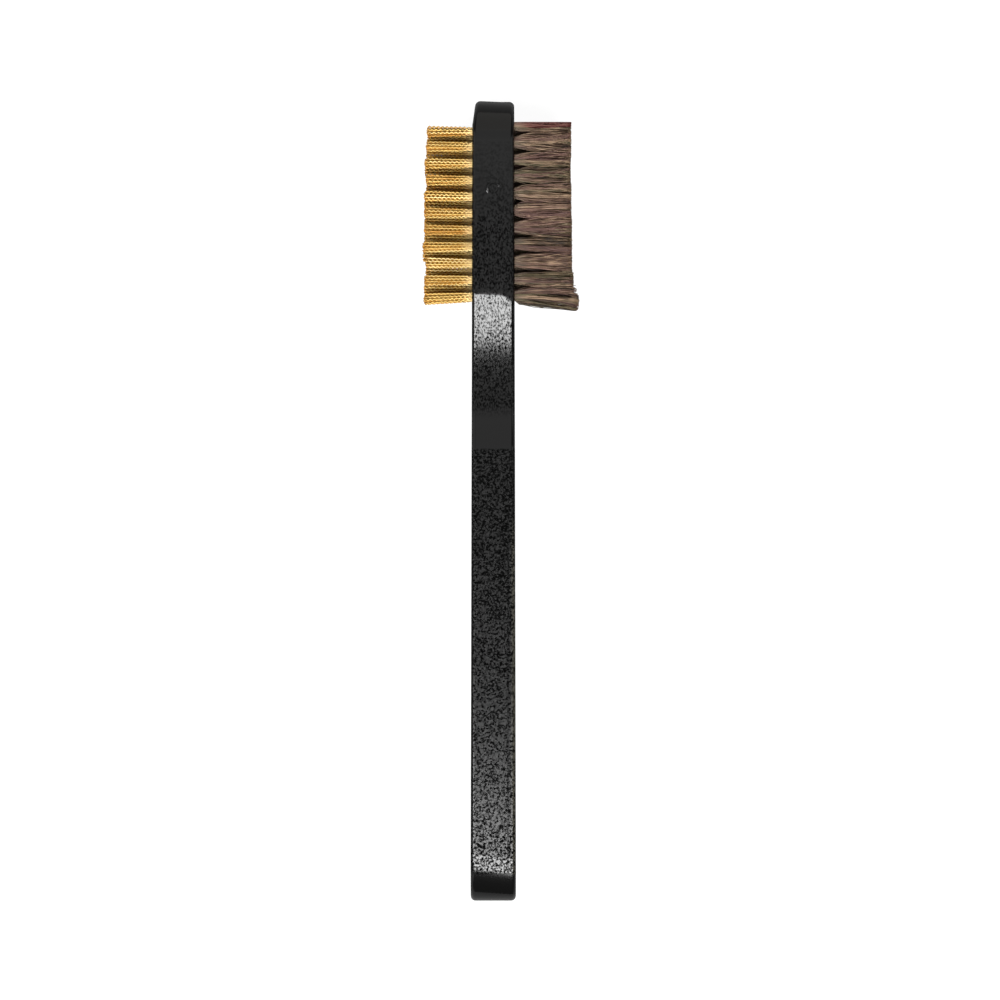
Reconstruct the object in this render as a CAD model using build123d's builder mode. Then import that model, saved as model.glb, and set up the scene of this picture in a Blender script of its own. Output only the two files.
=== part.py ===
"""Two-sided suede brush: crimped brass wire on one wide face of the head, brown hair on the other.

The brush lies on its side. X runs through the handle's thickness, brass towards -X and hair
towards +X. Y runs along the handle, with the head at +Y. Z is up, across the handle's width.
The origin is on the lower side of the head, which rests on the table, level with the middle of
the brass rows. Lengths are in millimetres.
"""

import os
from math import radians, tan

from build123d import *

# Rows of tufts on the two wide faces of the head
rows = 11
columns = 4
brass_row_pitch = 3.70
hair_row_pitch = 3.78
column_pitch = 3.70
hair_start_lead = 1.10

# Handle: a flat bar, thicker towards the butt, with a waist below the head
head_width = 18.0
tip_thickness = 9.30
butt_thickness = 10.05
tip_overhang = 6.60
neck_gap = 0.65
waist_length = 33.0
waist_depth = 1.90
waist_blend_radius = 8.0
grip_length = 89.5
butt_shoulder_radius = 14.0
butt_shoulder_angle = 33.0
edge_radius = 1.10

# Gate mark on the upper side of the head
gate_radius = 1.30
gate_depth = 0.22
gate_nub_radius = 0.50
gate_nub_height = 0.14
gate_from_field_middle = 5.80

# Tuft holes and the flat anchors driven into them
hole_radius = 1.15
hole_sides = 8
hole_depth = 3.90
anchor_thickness = 0.40
anchor_height = 1.40
anchor_bite = 0.28
fold_height = 0.80
root_gap = 0.02

# Strands
brass_length = 10.30
hair_length = 12.30
brass_strand_width = 0.58
hair_strand_width = 0.54
strand_ring_radius = 0.71
brass_tip_ring_radius = 1.08
hair_tip_ring_radius = 1.25
strand_sink = 0.30

# How far each row leans towards the tip of the head, and how far it stands proud, as shares of
# its length, from the first row at the tip of the head to the last at the neck
brass_lean_shares = (-0.010, 0.010, 0.0, -0.005, 0.015, 0.010, 0.0, -0.010, 0.010, -0.012, -0.045)
brass_reach_shares = (-0.04, -0.03, -0.01, 0.0, 0.0, 0.0, 0.01, 0.045, 0.01, 0.01, 0.01)
hair_lean_shares = (0.020, -0.010, 0.012, -0.012, 0.010, -0.016, 0.012, -0.010, 0.0, -0.025, -0.105)
hair_reach_shares = (0.0, 0.0, -0.01, -0.01, 0.0, 0.0, 0.01, 0.01, 0.01, 0.05, 0.12)
strand_spokes = ((0, 0), (1, 0), (0, 1), (-1, 0), (0, -1))
strand_reach_share = 0.035
strand_stray_share = 0.012
golden_share = 0.618034

# Cuts run this far past the surfaces they open
overrun = 1.0

# Places along the brush that follow from the sizes above
half_width = head_width / 2
brass_start = (rows - 1) * brass_row_pitch / 2
hair_start = brass_start + hair_start_lead
tip_end = brass_start + tip_overhang
tip_round_start = tip_end - half_width
waist_start = -brass_start - neck_gap
waist_middle = waist_start - waist_length / 2
waist_end = waist_start - waist_length
grip_end = waist_end - grip_length
taper_slope = (butt_thickness - tip_thickness) / 2 / (tip_end - grip_end)
field_half_thickness = tip_thickness / 2 + taper_slope * tip_end

# The two wide faces: x runs towards the tip of the head, z out along the tufts
brass_face = Plane(
    origin=(-field_half_thickness, 0, half_width),
    x_dir=(taper_slope, 1, 0),
    z_dir=(-1, taper_slope, 0),
)
hair_face = Plane(
    origin=(field_half_thickness, 0, half_width),
    x_dir=(-taper_slope, 1, 0),
    z_dir=(1, taper_slope, 0),
)

os.makedirs("parts", exist_ok=True)


def export(part, name):
    """Writes one finished piece under its own name."""
    part.label = name
    export_step(part, f"parts/{name}.step")


def at_depth(edges, depth):
    """The edges that lie this far in from the brass face."""
    return [
        edge
        for edge in edges
        if abs(brass_face.to_local_coords(edge.center()).Z + depth) < root_gap
    ]


def row_places(face, row, start, pitch):
    """The tuft centres of one row on its face: four staggered columns, the upper one first.

    Every second column stands half a pitch further down the handle, so it has no tuft in the
    last row.
    """
    places = []
    for column in range(columns):
        staggered = column % 2 == 1
        if staggered and row == rows - 1:
            continue
        along = start - row * pitch - (pitch / 2 if staggered else 0)
        upward = column_pitch * ((columns - 1) / 2 - column)
        places.append((along, upward * face.y_dir.Z))
    return places


def uneven(count):
    """A steady scatter between -1 and 1, the same on every run."""
    return 2 * ((count * golden_share) % 1) - 1


def strand(face, foot, head, width):
    """One four-sided strand that leans from its foot, sunk in the tuft's root, to its head."""
    start = face.from_local_coords(Vector(foot))
    rise = face.from_local_coords(Vector(head)) - start
    with BuildPart(mode=Mode.PRIVATE) as one:
        with BuildSketch(Plane(origin=start, x_dir=face.x_dir, z_dir=face.z_dir)):
            Rectangle(width, width)
        extrude(amount=rise.length, dir=rise.normalized())
    return one.part


def tuft_strands(face, place, first_count, length, lean, width, tip_ring):
    """The five strands of a tuft: one in the middle and four round it, spreading to their tips."""
    strands = []
    for number, (spoke_x, spoke_y) in enumerate(strand_spokes):
        count = first_count + number
        foot = (
            place[0] + spoke_x * strand_ring_radius,
            place[1] + spoke_y * strand_ring_radius,
            -strand_sink,
        )
        stray = strand_stray_share * length
        head = (
            place[0] + spoke_x * tip_ring + lean * length + stray * uneven(count),
            place[1] + spoke_y * tip_ring + stray * uneven(3 * count),
            length * (1 + strand_reach_share * uneven(2 * count)),
        )
        strands.append(strand(face, foot, head, width))
    return strands


# The packed root of a tuft fills its hole, and a window across it holds the anchor.
anchor_length = 2 * (hole_radius + anchor_bite)
anchor_middle = -hole_depth + fold_height + anchor_height / 2
with BuildPart() as root:
    with BuildSketch(Plane.XY.offset(-hole_depth + root_gap)):
        RegularPolygon(hole_radius - root_gap, hole_sides, rotation=180 / hole_sides)
    extrude(amount=hole_depth - root_gap)
    with BuildSketch(Plane.YZ):
        with Locations((0, anchor_middle)):
            Rectangle(anchor_length, anchor_height + 2 * root_gap)
    extrude(amount=anchor_thickness / 2 + root_gap, both=True, mode=Mode.SUBTRACT)

# One anchor, standing on edge across the handle
with BuildPart() as anchor:
    with BuildSketch(Plane.YZ):
        with Locations((0, anchor_middle)):
            Rectangle(anchor_length - 2 * root_gap, anchor_height)
    extrude(amount=anchor_thickness / 2, both=True)

# Handle: one half is the plan outline carried in from the brass face to the parting plane, which
# runs along the middle of the thickness, and the other half is its mirror image. The round along
# its rim is three flat bands, each laid against the arc of the edge radius.
rim_bevel = edge_radius * (1 - tan(radians(45 / 2)))
rim_ease = edge_radius * (tan(radians(45 / 2)) - tan(radians(45 / 4)))
with BuildPart() as handle:
    with BuildSketch(brass_face) as plan:
        with BuildLine():
            CenterArc((tip_round_start, 0), half_width, 0, 90)
            Line((tip_round_start, half_width), (waist_start, half_width))
            ThreePointArc(
                (waist_start, half_width),
                (waist_middle, half_width - waist_depth),
                (waist_end, half_width),
            )
            Line((waist_end, half_width), (grip_end, half_width))
            shoulder = JernArc(
                start=(grip_end, half_width),
                tangent=(-1, 0),
                radius=butt_shoulder_radius,
                arc_size=butt_shoulder_angle,
            )
            inward = shoulder % 1
            JernArc(
                start=shoulder @ 1,
                tangent=inward,
                radius=(shoulder @ 1).Y / -inward.X,
                arc_size=90 - butt_shoulder_angle,
            )
            mirror(about=Plane.XZ)
        make_face()
        waist_corners = [
            corner
            for corner in plan.vertices()
            if min(abs(corner.X - waist_start), abs(corner.X - waist_end)) < root_gap
        ]
        fillet(waist_corners, radius=waist_blend_radius)
    extrude(amount=-(butt_thickness / 2 + overrun))
    chamfer(at_depth(edges(), 0), length=rim_bevel)
    chamfer(at_depth(edges(), 0) + at_depth(edges(), rim_bevel), length=rim_ease)
    split(bisect_by=Plane.YZ, keep=Keep.BOTTOM)
    mirror(about=Plane.YZ)

    # Blind holes, each with the slit that its anchor cuts on the way in
    for face, start, pitch in (
        (brass_face, brass_start, brass_row_pitch),
        (hair_face, hair_start, hair_row_pitch),
    ):
        places = [place for row in range(rows) for place in row_places(face, row, start, pitch)]
        with BuildSketch(face):
            with Locations(places):
                RegularPolygon(hole_radius, hole_sides, rotation=180 / hole_sides)
        extrude(amount=-hole_depth, mode=Mode.SUBTRACT)
        with BuildSketch(face):
            with Locations(places):
                Rectangle(anchor_thickness + 2 * root_gap, anchor_length)
        extrude(amount=-(hole_depth - fold_height), mode=Mode.SUBTRACT)

    # Gate mark: a shallow dish with the trimmed gate standing in it
    with BuildSketch(Plane.XY.offset(head_width)):
        with Locations((0, gate_from_field_middle)):
            Circle(gate_radius)
    extrude(amount=-gate_depth, mode=Mode.SUBTRACT)
    with BuildSketch(Plane.XY.offset(head_width - gate_depth)):
        with Locations((0, gate_from_field_middle)):
            Circle(gate_nub_radius)
    extrude(amount=gate_nub_height)
export(handle.part, "handle")

# Tufts and anchors, one node for each row of tufts and one for each row of anchors
for side, face, start, pitch, length, leans, reaches, width, tip_ring in (
    (
        "brass",
        brass_face,
        brass_start,
        brass_row_pitch,
        brass_length,
        brass_lean_shares,
        brass_reach_shares,
        brass_strand_width,
        brass_tip_ring_radius,
    ),
    (
        "hair",
        hair_face,
        hair_start,
        hair_row_pitch,
        hair_length,
        hair_lean_shares,
        hair_reach_shares,
        hair_strand_width,
        hair_tip_ring_radius,
    ),
):
    for row in range(rows):
        places = row_places(face, row, start, pitch)
        spots = [face.location * Location((along, across, 0)) for along, across in places]
        strands = []
        for column, place in enumerate(places):
            first_count = (row * columns + column) * len(strand_spokes)
            reach = length * (1 + reaches[row])
            strands += tuft_strands(
                face, place, first_count, reach, leans[row], width, tip_ring
            )
        with BuildPart() as tuft_row:
            with Locations(spots):
                add(root.part)
            add(strands)
        export(tuft_row.part, f"{side}_tuft_row_{row + 1:02d}")
        with BuildPart() as anchor_row:
            with Locations(spots):
                add(anchor.part)
        export(anchor_row.part, f"{side}_anchor_row_{row + 1:02d}")
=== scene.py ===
"""Dresses the two-sided suede brush: a moulded black handle, crimped brass wire and brown hair.

The brush lies on its narrow side. X runs through the handle's thickness, brass towards -X and
hair towards +X. Y runs along the handle, with the head at +Y. Z is up. Lengths are in metres.
"""

from math import asin, cos, pi, radians, sin, sqrt

import bmesh
import bpy
import numpy as np
from bpy.props import FloatProperty, FloatVectorProperty, IntProperty, PointerProperty
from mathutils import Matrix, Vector


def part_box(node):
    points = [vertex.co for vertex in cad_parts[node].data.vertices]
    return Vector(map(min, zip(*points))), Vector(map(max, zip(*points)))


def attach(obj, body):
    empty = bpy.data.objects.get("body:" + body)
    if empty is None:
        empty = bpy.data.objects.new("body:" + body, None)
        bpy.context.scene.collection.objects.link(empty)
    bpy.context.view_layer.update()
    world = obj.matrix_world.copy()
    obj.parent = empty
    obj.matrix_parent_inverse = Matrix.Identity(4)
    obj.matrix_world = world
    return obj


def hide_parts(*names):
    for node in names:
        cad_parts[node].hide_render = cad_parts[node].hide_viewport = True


bl_info = {
    "name": "Suede Brush",
    "version": (1, 0, 0),
    "blender": (4, 5, 0),
    "location": "View3D > Sidebar > Suede Brush",
    "description": "Builds the handle, wires, hair and studio of a two-sided suede brush",
    "category": "Object",
}

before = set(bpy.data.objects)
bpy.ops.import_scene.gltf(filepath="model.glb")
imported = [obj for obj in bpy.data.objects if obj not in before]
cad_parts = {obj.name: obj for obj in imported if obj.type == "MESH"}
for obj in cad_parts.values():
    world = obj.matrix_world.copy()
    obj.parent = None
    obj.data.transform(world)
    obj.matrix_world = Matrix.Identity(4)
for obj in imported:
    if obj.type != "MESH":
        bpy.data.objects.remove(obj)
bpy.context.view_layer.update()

MM = 0.001
SIDES = {"brass": -1, "hair": 1}

# Places read from the fixed frame
handle_low, handle_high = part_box("handle")
tip_end = handle_high.y
butt_end = handle_low.y
half_width = (handle_high.z - handle_low.z) / 2
middle_height = handle_low.z + half_width

# The handle's plan, as the frame has it
tip_half_thickness = 4.65 * MM
taper_slope = 0.00225
neck_start = -19.15 * MM
waist_length = 33.0 * MM
waist_depth = 1.90 * MM
waist_blend_radius = 8.0 * MM
shoulder_radius = 14.0 * MM
shoulder_angle = radians(33.0)
# The brass face draws in a little towards the tip
tip_slant = 0.11
tip_slant_start = 18.5 * MM
# A fine line along the upper side of the grip starts here
seam_start = -66 * MM

# The field of tufts and the anchors that hold them
rows = 11
columns = 4
anchor_half_thickness = 0.20 * MM
anchor_half_length = 1.41 * MM
hole_radius = 1.15 * MM
hole_depth = 3.90 * MM
slit_half_width = 0.22 * MM
slit_half_length = 1.43 * MM

# The render is square, and this is what the photograph shows a little above the brush's middle
photo_pixels = 1000
photo_height = 11.5 * MM
metres_per_pixel = 0.2225 * MM
photo_origin = (493.3, 214.0)
sensor_millimetres = 36


def half_thickness(along):
    """Half the handle's thickness at a place along it."""
    return tip_half_thickness + taper_slope * (tip_end - along)


class TuftField:
    """Where the tufts of one wide face stand, read from the anchors of its first and last rows."""

    def __init__(self, kind):
        first_low, first_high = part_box(f"{kind}_anchor_row_01")
        last_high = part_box(f"{kind}_anchor_row_{rows:02d}")[1]
        self.kind = kind
        self.side = SIDES[kind]
        self.start = first_high.y - anchor_half_thickness
        self.pitch = (first_high.y - last_high.y) / (rows - 1)
        self.top = first_high.z - anchor_half_length
        bottom = first_low.z + anchor_half_length
        self.column_pitch = (self.top - bottom) / (columns - 1)

    def row_places(self, row):
        """The (along, height) centres of one row, the upper column first."""
        places = []
        for column in range(columns):
            staggered = column % 2 == 1
            if staggered and row == rows - 1:
                continue
            along = self.start - row * self.pitch - (self.pitch / 2 if staggered else 0)
            places.append((along, self.top - column * self.column_pitch))
        return places

    def point(self, along, height, out):
        """Points that stand out from the wide face by a distance."""
        x = self.side * (half_thickness(along) + out)
        return np.stack(np.broadcast_arrays(x, along + taper_slope * out, height), axis=-1)


# Settings that a user would change


def length_setting(name, description, default, precision=5):
    """A length, shown in the scene's units."""
    return FloatProperty(
        name=name, description=description, default=default, unit="LENGTH", precision=precision
    )


def color_setting(name, description, default):
    """A colour with its picker."""
    return FloatVectorProperty(
        name=name, description=description, default=default, subtype="COLOR"
    )


class HandleSettings(bpy.types.PropertyGroup):
    edge_radius: length_setting("Edge radius", "Round along the rim of the handle", 1.10 * MM)
    gate_radius: length_setting(
        "Gate mark radius",
        "Radius of the round moulding mark on the upper side of the head",
        1.60 * MM,
    )
    gate_along: length_setting(
        "Gate mark place",
        "Distance of the moulding mark from the middle of the brass rows",
        5.40 * MM,
    )
    grain_size: length_setting("Grain size", "Width of one speck of the eroded texture", 0.25 * MM)
    grain_depth: length_setting(
        "Grain depth",
        "Depth of the swell between the pits of the eroded texture",
        0.040 * MM,
        precision=6,
    )
    plastic_color: color_setting(
        "Plastic colour", "Colour of the moulded plastic", (0.0010, 0.0010, 0.0010)
    )
    speck_color: color_setting(
        "Speck colour", "Colour of the raised specks of the texture", (0.0014, 0.0014, 0.0014)
    )


class BrassSettings(bpy.types.PropertyGroup):
    wires_across: IntProperty(
        name="Wires across", description="Wires side by side across the middle of a tuft", default=4
    )
    length: length_setting("Wire length", "How far a wire stands out of the face", 10.60 * MM)
    thickness: length_setting("Wire thickness", "Diameter of one wire", 0.29 * MM)
    crimp_length: length_setting("Crimp length", "Length of one wave of the crimp", 0.97 * MM)
    crimp_height: length_setting(
        "Crimp height", "How far the crimp swings to each side", 0.14 * MM
    )
    dark_color: color_setting("Dark brass", "Colour of the darkest wires", (0.35, 0.165, 0.031))
    middle_color: color_setting("Brass", "Colour of most wires", (0.49, 0.330, 0.100))
    light_color: color_setting("Light brass", "Colour of the palest wires", (0.70, 0.55, 0.26))


class HairSettings(bpy.types.PropertyGroup):
    hairs_per_tuft: IntProperty(
        name="Hairs per tuft", description="Hair ends that stand in one tuft", default=210
    )
    length: length_setting("Hair length", "How far a hair stands out of the face", 12.65 * MM)
    thickness: length_setting("Hair thickness", "Diameter of one hair at its root", 0.150 * MM)
    dark_color: color_setting("Dark hair", "Colour of the darkest hairs", (0.014, 0.007, 0.004))
    middle_color: color_setting("Hair", "Colour of most hairs", (0.057, 0.032, 0.0172))
    light_color: color_setting("Light hair", "Colour of the palest hairs", (0.190, 0.125, 0.076))
    olive_color: color_setting("Olive hair", "Colour that some locks lean to", (0.055, 0.047, 0.020))
    pink_color: color_setting(
        "Pink hair", "Colour that other locks lean to", (0.088, 0.042, 0.034)
    )
    red_color: color_setting(
        "Red hair",
        "Colour of the reddish hairs along the tip of the head",
        (0.058, 0.010, 0.007),
    )


class StageSettings(bpy.types.PropertyGroup):
    camera_distance: length_setting(
        "Camera distance",
        "Height of the camera above the upper side of the brush",
        1.50,
        precision=2,
    )
    floor_color: color_setting("Floor", "Colour of the lit table", (0.10, 0.10, 0.10))
    floor_glow: FloatProperty(
        name="Floor glow", description="How white the table shows to the camera", default=0.94
    )
    key_strength: FloatProperty(
        name="Key light", description="Radiance of the large soft light", default=16.5
    )
    fill_strength: FloatProperty(
        name="Fill light", description="Brightness of the room round the brush", default=0.08
    )


# Mesh helpers


def new_piece(name, mesh, material, slot, *nodes):
    """Puts a mesh in the scene as a piece that rides with the brush in the place of its nodes."""
    missing = [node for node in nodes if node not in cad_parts]
    if missing:
        raise RuntimeError(f"{name} can't be placed without {missing}")
    piece = bpy.data.objects.new(name, mesh)
    bpy.context.scene.collection.objects.link(piece)
    mesh.materials.append(material)
    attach(piece, "root")
    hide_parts(*nodes)
    return piece


def tubes(name, paths, radii, sides, marks):
    """One mesh of closed tubes. paths is (strand, ring, 3) and radii (strand, ring).

    marks is a dictionary of values for each strand and ring, which become point attributes.
    """
    strands, rings = radii.shape
    turns = np.arange(sides) * 2 * pi / sides
    # Every strand stands out along X, so its rings lie across Y and Z
    across = np.stack([np.zeros(sides), np.cos(turns), np.sin(turns)], axis=-1)
    points = paths[:, :, None, :] + radii[:, :, None, None] * across
    ring = np.arange(sides)
    first = np.arange(strands * rings).reshape(strands, rings)[:, :-1, None] * sides
    quads = np.stack(
        [
            first + ring,
            first + (ring + 1) % sides,
            first + sides + (ring + 1) % sides,
            first + sides + ring,
        ],
        axis=-1,
    ).reshape(-1, 4)
    ends = np.arange(strands)[:, None] * rings * sides + ring
    faces = quads.tolist()
    faces += ends[:, ::-1].tolist()
    faces += (ends + (rings - 1) * sides).tolist()
    mesh = bpy.data.meshes.new(name)
    mesh.from_pydata(points.reshape(-1, 3), [], faces)
    for mark, values in marks.items():
        layer = mesh.attributes.new(mark, "FLOAT", "POINT")
        spread = np.broadcast_to(values, radii.shape)
        layer.data.foreach_set("value", np.repeat(spread.ravel(), sides).astype(np.float32))
    mesh.shade_smooth()
    return mesh


def sunflower(count, radius):
    """Evenly packed places in a disc, from the middle outwards."""
    number = np.arange(count) + 0.5
    turn = number * pi * (3 - sqrt(5))
    reach = radius * np.sqrt(number / count)
    return reach * np.cos(turn), reach * np.sin(turn)


# Material helpers


def add(tree, kind, **settings):
    """A new node with its settings."""
    made = tree.nodes.new(kind)
    for setting, value in settings.items():
        setattr(made, setting, value)
    return made


def shader_group(name, inputs, outputs):
    """A new node group with (name, kind, default) inputs and (name, kind) outputs."""
    group = bpy.data.node_groups.new(name, "ShaderNodeTree")
    for label, kind, default in inputs:
        socket = group.interface.new_socket(label, in_out="INPUT", socket_type=kind)
        socket.default_value = default
    for label, kind in outputs:
        group.interface.new_socket(label, in_out="OUTPUT", socket_type=kind)
    return group, add(group, "NodeGroupInput"), add(group, "NodeGroupOutput")


def place_group(tree, name, **values):
    """Puts a group in a material with its own values, named as the inputs with _ for a space."""
    node = add(tree, "ShaderNodeGroup", node_tree=bpy.data.node_groups[name])
    for label, value in values.items():
        node.inputs[label.replace("_", " ")].default_value = value
    return node


def color_value(color):
    """A colour setting with its alpha."""
    return (*color, 1.0)


def new_material(name):
    """A new material's tree and its one glossy shader, once the shared groups are there."""
    for group, build in (("Fine grain", grain_group), ("Strand colour", strand_group)):
        if group not in bpy.data.node_groups:
            build()
    material = bpy.data.materials.new(name)
    material.use_nodes = True
    tree = material.node_tree
    return material, tree, tree.nodes["Principled BSDF"]


def calculate(tree, operation, *values, clamp=False):
    """A math node on sockets or numbers, giving its output."""
    node = add(tree, "ShaderNodeMath", operation=operation, use_clamp=clamp)
    for socket, value in zip(node.inputs, values):
        if isinstance(value, bpy.types.NodeSocket):
            tree.links.new(value, socket)
        else:
            socket.default_value = value
    return node.outputs[0]


def ramp_between(tree, value, low, high, out_low=0.0, out_high=1.0):
    """A smooth step of a value from low to high."""
    node = add(tree, "ShaderNodeMapRange", interpolation_type="SMOOTHSTEP")
    tree.links.new(value, node.inputs["Value"])
    node.inputs["From Min"].default_value = low
    node.inputs["From Max"].default_value = high
    node.inputs["To Min"].default_value = out_low
    node.inputs["To Max"].default_value = out_high
    return node.outputs["Result"]


def mix_colors(tree, share, first, second, blend="MIX"):
    """A mix of two colours, each a socket or a value, by a share that is a socket or a number."""
    node = add(tree, "ShaderNodeMix", data_type="RGBA", blend_type=blend)
    for socket, value in (
        (node.inputs["Factor"], share),
        (node.inputs[6], first),
        (node.inputs[7], second),
    ):
        if isinstance(value, bpy.types.NodeSocket):
            tree.links.new(value, socket)
        else:
            socket.default_value = value
    return node.outputs[2]


def grain_group():
    """The gentle swell of an eroded or brushed surface, and a mask of what lies between pits."""
    group, given, out = shader_group(
        "Fine grain",
        [("Speck size", "NodeSocketFloat", 0.0004), ("Stretch", "NodeSocketFloat", 1.0)],
        [("Height", "NodeSocketFloat"), ("Specks", "NodeSocketFloat")],
    )
    place = add(group, "ShaderNodeTexCoord").outputs["Object"]
    squeeze = add(group, "ShaderNodeCombineXYZ")
    squeeze.inputs["X"].default_value = 1.0
    squeeze.inputs["Z"].default_value = 1.0
    group.links.new(calculate(group, "DIVIDE", 1.0, given.outputs["Stretch"]), squeeze.inputs["Y"])
    stretched = add(group, "ShaderNodeVectorMath", operation="MULTIPLY")
    group.links.new(place, stretched.inputs[0])
    group.links.new(squeeze.outputs["Vector"], stretched.inputs[1])
    frequency = calculate(group, "DIVIDE", 1.0, given.outputs["Speck size"])
    heights = []
    # The pitting is a little coarser than the swell
    for share in (1.0, 1.25):
        cloud = add(group, "ShaderNodeTexNoise")
        cloud.inputs["Detail"].default_value = 2.0
        cloud.inputs["Roughness"].default_value = 0.65
        group.links.new(stretched.outputs["Vector"], cloud.inputs["Vector"])
        group.links.new(calculate(group, "DIVIDE", frequency, share), cloud.inputs["Scale"])
        heights.append(cloud.outputs["Fac"])
    swell, pitting = heights
    group.links.new(ramp_between(group, pitting, 0.32, 0.60), out.inputs["Specks"])
    group.links.new(swell, out.inputs["Height"])


def strand_group():
    """The colour of a strand, from its own tone and from how far along it the place is, which paints
    a highlight near the root.
    """
    group, given, out = shader_group(
        "Strand colour",
        [
            ("Dark", "NodeSocketColor", (0, 0, 0, 1)),
            ("Middle", "NodeSocketColor", (0.5, 0.5, 0.5, 1)),
            ("Light", "NodeSocketColor", (1, 1, 1, 1)),
            ("Root", "NodeSocketColor", (1, 1, 1, 1)),
            ("Root share", "NodeSocketFloat", 0.3),
            ("Patchiness", "NodeSocketFloat", 0.0),
        ],
        [("Color", "NodeSocketColor"), ("Tone", "NodeSocketFloat")],
    )
    place = add(group, "ShaderNodeTexCoord").outputs["Object"]
    stretched = add(group, "ShaderNodeVectorMath", operation="MULTIPLY")
    group.links.new(place, stretched.inputs[0])
    # The patches are longer along the strands
    stretched.inputs[1].default_value = (0.35, 1.0, 1.0)
    cloud = add(group, "ShaderNodeTexNoise")
    cloud.inputs["Scale"].default_value = 1 / (1.0 * MM)
    cloud.inputs["Detail"].default_value = 1.0
    group.links.new(stretched.outputs["Vector"], cloud.inputs["Vector"])
    patch = calculate(group, "SUBTRACT", cloud.outputs["Fac"], 0.5)
    own = add(group, "ShaderNodeAttribute", attribute_name="tone").outputs["Fac"]
    tone = calculate(group, "MULTIPLY_ADD", patch, given.outputs["Patchiness"], own, clamp=True)
    along = add(group, "ShaderNodeAttribute", attribute_name="along").outputs["Fac"]
    lower = mix_colors(
        group,
        ramp_between(group, tone, 0.0, 0.5),
        given.outputs["Dark"],
        given.outputs["Middle"],
    )
    whole = mix_colors(group, ramp_between(group, tone, 0.5, 1.0), lower, given.outputs["Light"])
    # Near its root a strand turns towards the Root colour, a painted highlight
    painted_root_highlight = calculate(
        group,
        "MULTIPLY",
        ramp_between(group, along, 0.0, 0.35, 1.0, 0.0),
        given.outputs["Root share"],
    )
    root_highlighted = mix_colors(group, painted_root_highlight, whole, given.outputs["Root"])
    group.links.new(root_highlighted, out.inputs["Color"])
    group.links.new(tone, out.inputs["Tone"])


# Where the eroded texture starts and stops along the handle, and how far each change takes
tip_line = 15.8 * MM
waist_line = -44.0 * MM
grip_line = -52.3 * MM
butt_line = -146.6 * MM
sharp_fade = 0.25 * MM
soft_fade = 2 * MM
# Stretches over which the pits of the texture grow wider or narrower, from the lower end of each
head_stretch = (-8.0 * MM, 10.0 * MM)
neck_top_stretch = (-17.5 * MM, -15.5 * MM)
neck_bottom_stretch = (-31.0 * MM, -20.0 * MM)
grip_stretch = (-110.0 * MM, -80.0 * MM)
butt_stretch = (-139.0 * MM, -134.0 * MM)
# The pits are shallow at the tip of the head and reach their full depth over this stretch
depth_stretch = (-5.0 * MM, 14.0 * MM)
tip_depth_share = 0.4
# How much wider the pits are than at the tip, where a wider pit is a higher power of the mask
head_widening = 1.1
grip_widening = 1.1
grip_narrowing = -0.9
butt_widening = 1.5
# The broken line along the grip and, beyond it, the edge's painted sheen where its round catches
# light, across the handle
line_in = (2.95 * MM, 3.25 * MM)
line_out = (3.35 * MM, 3.65 * MM)
rim_sheen_span = (3.7 * MM, 4.6 * MM)
seam_fade = 8 * MM
# Colour of the painted sheen on the grip's edge
rim_sheen_color = (0.034, 0.032, 0.025, 1)
line_depth_share = 0.5


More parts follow.
